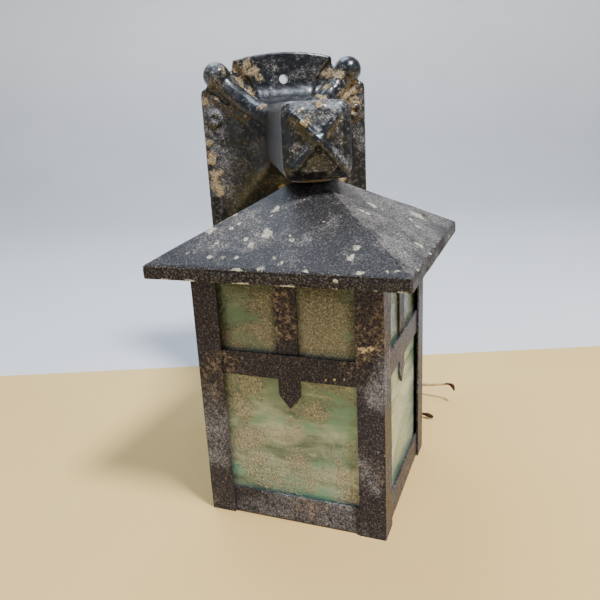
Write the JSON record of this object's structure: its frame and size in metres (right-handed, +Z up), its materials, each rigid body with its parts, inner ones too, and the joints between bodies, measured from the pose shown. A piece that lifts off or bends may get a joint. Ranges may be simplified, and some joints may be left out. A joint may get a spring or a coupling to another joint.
{
  "type": "outdoor wall lantern",
  "caption": "Square sheet-metal lantern with pyramid roof and slag-glass panes, hung from a hollow cast wall bracket with crest and scrolls; the lantern turns on its nipple.",
  "frame": {"origin": "middle of the wall plate's back, in the plane that lies on the wall", "axes": "+Y into the wall, +Z up, +X to the right for someone who faces the lantern; the arm reaches out along -Y"},
  "size_m": [0.227, 0.2659, 0.288],
  "materials": {
    "cast_iron": "worn gloss black over cast iron, with tan mud in the hollows",
    "roof_steel": "weathered blue-grey paint with pale dust and spots",
    "frame_steel": "matt brown-black, rusty and dusty",
    "plain_steel": "dull plated steel",
    "slag_glass": "opalescent green and white streaks under a sandy film",
    "brass": "tarnished",
    "porcelain": "glazed",
    "lamp_glass": "frosted white",
    "lead_cover": "yellowed wire cover",
    "copper": "dark oxidised copper strands"
  },
  "bodies": {
    "bracket": {"wall_bracket": "cast_iron", "nipple": "plain_steel", "arm_washer": "plain_steel", "arm_nut": "plain_steel", "seat_washer": "plain_steel", "clamp_washer": "plain_steel", "clamp_nut": "plain_steel", "lampholder_cap": "brass", "lampholder_body": "porcelain", "lampholder_shell": "brass", "lampholder_contact": "brass", "terminal_screw_line": "brass", "terminal_screw_neutral": "brass", "lead_neutral_held": "lead_cover", "lead_neutral_free": "lead_cover", "lead_neutral_strands": "copper", "lead_line_held": "lead_cover", "lead_line_free": "lead_cover", "lead_line_strands": "copper"},
    "lantern": {"roof_shell": "roof_steel", "crossbar": "plain_steel", "rivet_front_left": "plain_steel", "rivet_front_right": "plain_steel", "rivet_back_left": "plain_steel", "rivet_back_right": "plain_steel", "corner_post_front_left": "frame_steel", "corner_retainer_front_left": "plain_steel", "top_rail_front": "frame_steel", "mid_rail_front": "frame_steel", "bottom_rail_front": "frame_steel", "centre_strip_front": "frame_steel", "pane_front": "slag_glass", "corner_post_front_right": "frame_steel", "corner_retainer_front_right": "plain_steel", "top_rail_right": "frame_steel", "mid_rail_right": "frame_steel", "bottom_rail_right": "frame_steel", "centre_strip_right": "frame_steel", "pane_right": "slag_glass", "corner_post_back_right": "frame_steel", "corner_retainer_back_right": "plain_steel", "top_rail_back": "frame_steel", "mid_rail_back": "frame_steel", "bottom_rail_back": "frame_steel", "centre_strip_back": "frame_steel", "pane_back": "slag_glass", "corner_post_back_left": "frame_steel", "corner_retainer_back_left": "plain_steel", "top_rail_left": "frame_steel", "mid_rail_left": "frame_steel", "bottom_rail_left": "frame_steel", "centre_strip_left": "frame_steel", "pane_left": "slag_glass"},
    "lamp": {"lamp_bulb": "lamp_glass", "lamp_screw_cap": "brass", "lamp_tip": "brass"}
  },
  "joints": [
    {"name": "lantern_swivel", "type": "hinge", "parent": "bracket", "child": "lantern", "pos_m": [0, -0.16, 0], "axis": [0, 0, 1], "continuous": true},
    {"name": "lamp_removal", "type": "slide", "parent": "bracket", "child": "lamp", "axis": [0, 0, -1], "range_m": [0, 0.03]}
  ]
}
